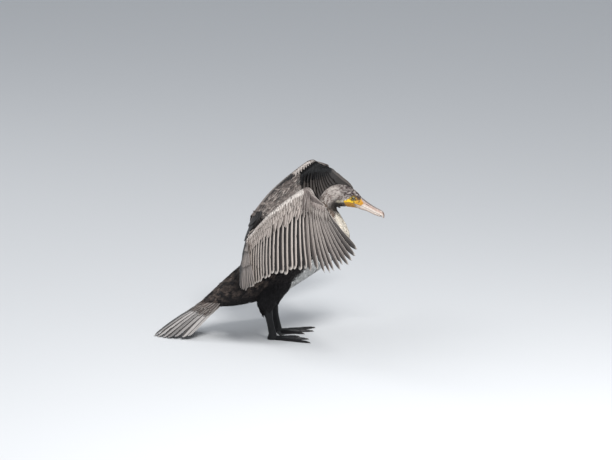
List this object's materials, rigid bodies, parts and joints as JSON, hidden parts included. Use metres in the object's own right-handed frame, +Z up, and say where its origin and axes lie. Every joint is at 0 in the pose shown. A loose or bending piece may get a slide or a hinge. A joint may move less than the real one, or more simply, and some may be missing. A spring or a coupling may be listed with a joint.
{
  "type": "cormorant",
  "caption": "Still, life-size young cormorant that stands on webbed feet with both wings held out to dry and its tail resting on the floor.",
  "frame": {"origin": "on the floor, below the middle of the box around the bird", "axes": "+X the way the bird faces, +Y to its left, +Z up"},
  "size_m": [0.5652, 0.8717, 0.4051],
  "materials": {
    "body_feathers": "soft, dark, slightly glossy feathers",
    "neck_feathers": "soft mottled feathers",
    "head_feathers": "short mottled feathers",
    "flight_feathers": "stiff feathers with a satin sheen",
    "bill_horn": "satin horn",
    "eye": "wet and glossy",
    "leg_skin": "scaly black skin with a low sheen",
    "claw_horn": "dark horn"
  },
  "bodies": {
    "root": {"torso": "body_feathers", "neck": "neck_feathers", "head": "head_feathers", "bill_upper": "bill_horn", "bill_lower": "bill_horn", "eye_left": "eye", "eye_right": "eye", "thigh_left": "body_feathers", "thigh_right": "body_feathers", "shank_left": "leg_skin", "shank_right": "leg_skin", "foot_left": "leg_skin", "foot_right": "leg_skin", "claw_hind_left": "claw_horn", "claw_inner_left": "claw_horn", "claw_middle_left": "claw_horn", "claw_outer_left": "claw_horn", "claw_hind_right": "claw_horn", "claw_inner_right": "claw_horn", "claw_middle_right": "claw_horn", "claw_outer_right": "claw_horn", "wing_upper_left": "flight_feathers", "wing_fore_left": "flight_feathers", "wing_hand_left": "flight_feathers", "wing_upper_right": "flight_feathers", "wing_fore_right": "flight_feathers", "wing_hand_right": "flight_feathers", "tail": "flight_feathers"}
  },
  "joints": []
}
